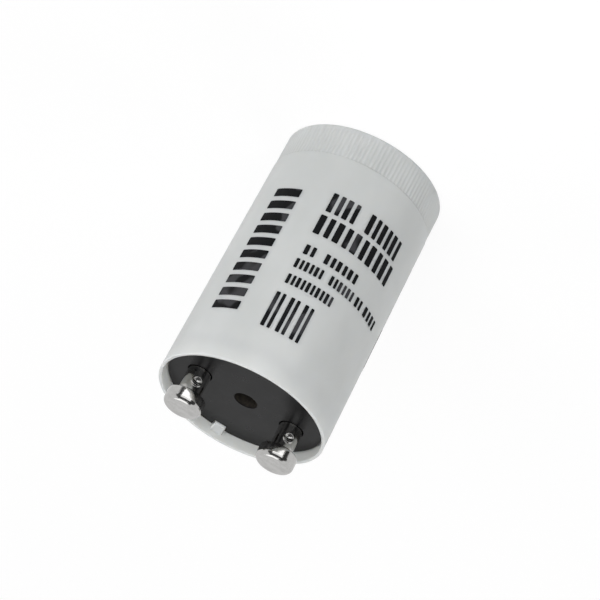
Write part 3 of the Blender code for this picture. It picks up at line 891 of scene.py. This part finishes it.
class STARTER_OT_stage(bpy.types.Operator):
    """White floor, soft studio light and camera"""
    bl_idname = "starter.stage"
    bl_label = "Stage"

    def execute(self, context):
        self.floor()
        self.sky(context.scene)
        for name, place, power in LAMPS:
            area_light(name, place, power)
        for name, angles, near, far, brightness in CARDS:
            self.card(name, ring_corners(angles, near, far), brightness)
        self.card("top_card", top_corners(), TOP_CARD_BRIGHTNESS)
        self.camera(context.scene)
        context.scene.view_settings.view_transform = "Standard"
        return {"FINISHED"}

    def seen(self, tree):
        """1 for what the camera or a glass sees, less for a mirror, 0 for what lights a surface."""
        path = tree.nodes.new("ShaderNodeLightPath")
        total = path.outputs["Is Camera Ray"]
        for name, share in (("Is Glossy Ray", FLOOR_IN_GLOSS), ("Is Transmission Ray", 1.0)):
            add = tree.nodes.new("ShaderNodeMath")
            add.operation = "MULTIPLY_ADD"
            add.use_clamp = True
            add.inputs[1].default_value = share
            tree.links.new(path.outputs[name], add.inputs[0])
            tree.links.new(total, add.inputs[2])
            total = add.outputs[0]
        return total

    def floor(self):
        """Plain floor that looks white and keeps the shadow."""
        half = FLOOR_SIZE / 2
        mesh = bpy.data.meshes.new("floor")
        mesh.from_pydata([(-half, -half, 0), (half, -half, 0), (half, half, 0), (-half, half, 0)], [],
                         [(0, 1, 2, 3)])
        floor = bpy.data.objects.new("floor", mesh)
        bpy.context.scene.collection.objects.link(floor)
        material, tree, shader = new_material("pale_floor")
        shader.inputs["Base Color"].default_value = (*FLOOR_COLOUR, 1.0)
        shader.inputs["Roughness"].default_value = 0.9
        glow = tree.nodes.new("ShaderNodeEmission")
        glow.inputs["Strength"].default_value = FLOOR_GLOW
        share = tree.nodes.new("ShaderNodeMath")
        share.operation = "MULTIPLY"
        share.inputs[1].default_value = FLOOR_GLOW_SHARE
        tree.links.new(self.seen(tree), share.inputs[0])
        mix = tree.nodes.new("ShaderNodeMixShader")
        tree.links.new(share.outputs[0], mix.inputs[0])
        tree.links.new(shader.outputs[0], mix.inputs[1])
        tree.links.new(glow.outputs[0], mix.inputs[2])
        tree.links.new(mix.outputs[0], tree.nodes["Material Output"].inputs["Surface"])
        mesh.materials.append(material)

    def card(self, name, corners, brightness):
        """Card that shows only in metal and gloss, as a reflector or a flag does."""
        mesh = bpy.data.meshes.new(name)
        mesh.from_pydata(corners, [], [tuple(range(len(corners)))])
        card = bpy.data.objects.new(name, mesh)
        bpy.context.scene.collection.objects.link(card)
        material, tree, shader = new_material(name)
        shader.inputs["Base Color"].default_value = (0.0, 0.0, 0.0, 1.0)
        shader.inputs["Specular IOR Level"].default_value = 0.0
        shader.inputs["Emission Color"].default_value = (1.0, 1.0, 1.0, 1.0)
        shader.inputs["Emission Strength"].default_value = brightness
        mesh.materials.append(material)
        for way in ("camera", "diffuse", "transmission", "volume_scatter", "shadow"):
            setattr(card, "visible_" + way, False)

    def sky(self, scene):
        """Even sky, which a mirror sees brighter and the camera sees white."""
        world = bpy.data.worlds.new("studio")
        scene.world = world
        world.use_nodes = True
        tree = world.node_tree
        shown = tree.nodes["Background"]
        shown.inputs["Color"].default_value = (1.0, 1.0, 1.0, 1.0)
        shown.inputs["Strength"].default_value = SKY_LEVEL
        path = tree.nodes.new("ShaderNodeLightPath")
        for ray, level in (("Is Glossy Ray", SKY_IN_GLOSS), ("Is Camera Ray", 1.0)):
            white = tree.nodes.new("ShaderNodeBackground")
            white.inputs["Color"].default_value = (1.0, 1.0, 1.0, 1.0)
            white.inputs["Strength"].default_value = level
            mix = tree.nodes.new("ShaderNodeMixShader")
            tree.links.new(path.outputs[ray], mix.inputs[0])
            tree.links.new(shown.outputs[0], mix.inputs[1])
            tree.links.new(white.outputs[0], mix.inputs[2])
            shown = mix
        tree.links.new(shown.outputs[0], tree.nodes["World Output"].inputs["Surface"])

    def camera(self, scene):
        """Camera at the photograph's angle."""
        sizes = scene.starter_camera
        lens = bpy.data.cameras.new("camera")
        lens.sensor_width = sizes.sensor
        lens.lens = sizes.lens
        lens.clip_start = 0.01
        lens.clip_end = 100.0
        camera = bpy.data.objects.new("camera", lens)
        scene.collection.objects.link(camera)
        flat = math.cos(sizes.elevation)
        back = Vector((math.sin(sizes.azimuth) * flat, -math.cos(sizes.azimuth) * flat,
                       math.sin(sizes.elevation)))
        side = Vector((0.0, 0.0, 1.0)).cross(back).normalized()
        level = Matrix((side, back.cross(side), back)).transposed()
        axes = level @ Matrix.Rotation(sizes.roll, 3, "Z")
        aim = Vector((0.0, 0.0, sizes.aim_height))
        place = aim + back * sizes.distance + axes.col[0] * sizes.side_step + axes.col[1] * sizes.rise
        camera.matrix_world = Matrix.Translation(place) @ axes.to_4x4()
        scene.camera = camera


class STARTER_PT_panel(bpy.types.Panel):
    """Steps that dress the starter"""
    bl_idname = "STARTER_PT_panel"
    bl_label = "Starter"
    bl_space_type = "VIEW_3D"
    bl_region_type = "UI"
    bl_category = "Starter"

    def draw(self, context):
        for step in STEPS:
            self.layout.operator(step.bl_idname)
        for group in GROUPS:
            sizes = getattr(context.scene, group)
            box = self.layout.box()
            for name in sizes.__annotations__:
                box.prop(sizes, name)


STEPS = (STARTER_OT_can, STARTER_OT_print, STARTER_OT_plate, STARTER_OT_pins, STARTER_OT_insides,
         STARTER_OT_stage)
GROUPS = {"starter_can": StarterCanSizes, "starter_pins": StarterPinSizes,
          "starter_colours": StarterColours, "starter_camera": StarterCamera}


def register():
    """Register the groups of sizes, the steps and the panel."""
    for group in GROUPS.values():
        bpy.utils.register_class(group)
    for step in (*STEPS, STARTER_PT_panel):
        bpy.utils.register_class(step)
    for name, group in GROUPS.items():
        setattr(bpy.types.Scene, name, PointerProperty(type=group))


def unregister():
    """Take all of them away again."""
    for name in GROUPS:
        delattr(bpy.types.Scene, name)
    for step in (STARTER_PT_panel, *reversed(STEPS)):
        bpy.utils.unregister_class(step)
    for group in reversed(list(GROUPS.values())):
        bpy.utils.unregister_class(group)


def main():
    """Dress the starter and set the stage."""
    register()
    bpy.ops.starter.can()
    bpy.ops.starter.print()
    bpy.ops.starter.plate()
    bpy.ops.starter.pins()
    bpy.ops.starter.insides()
    bpy.ops.starter.stage()
    bpy.context.view_layer.update()


if __name__ == "__main__":
    main()
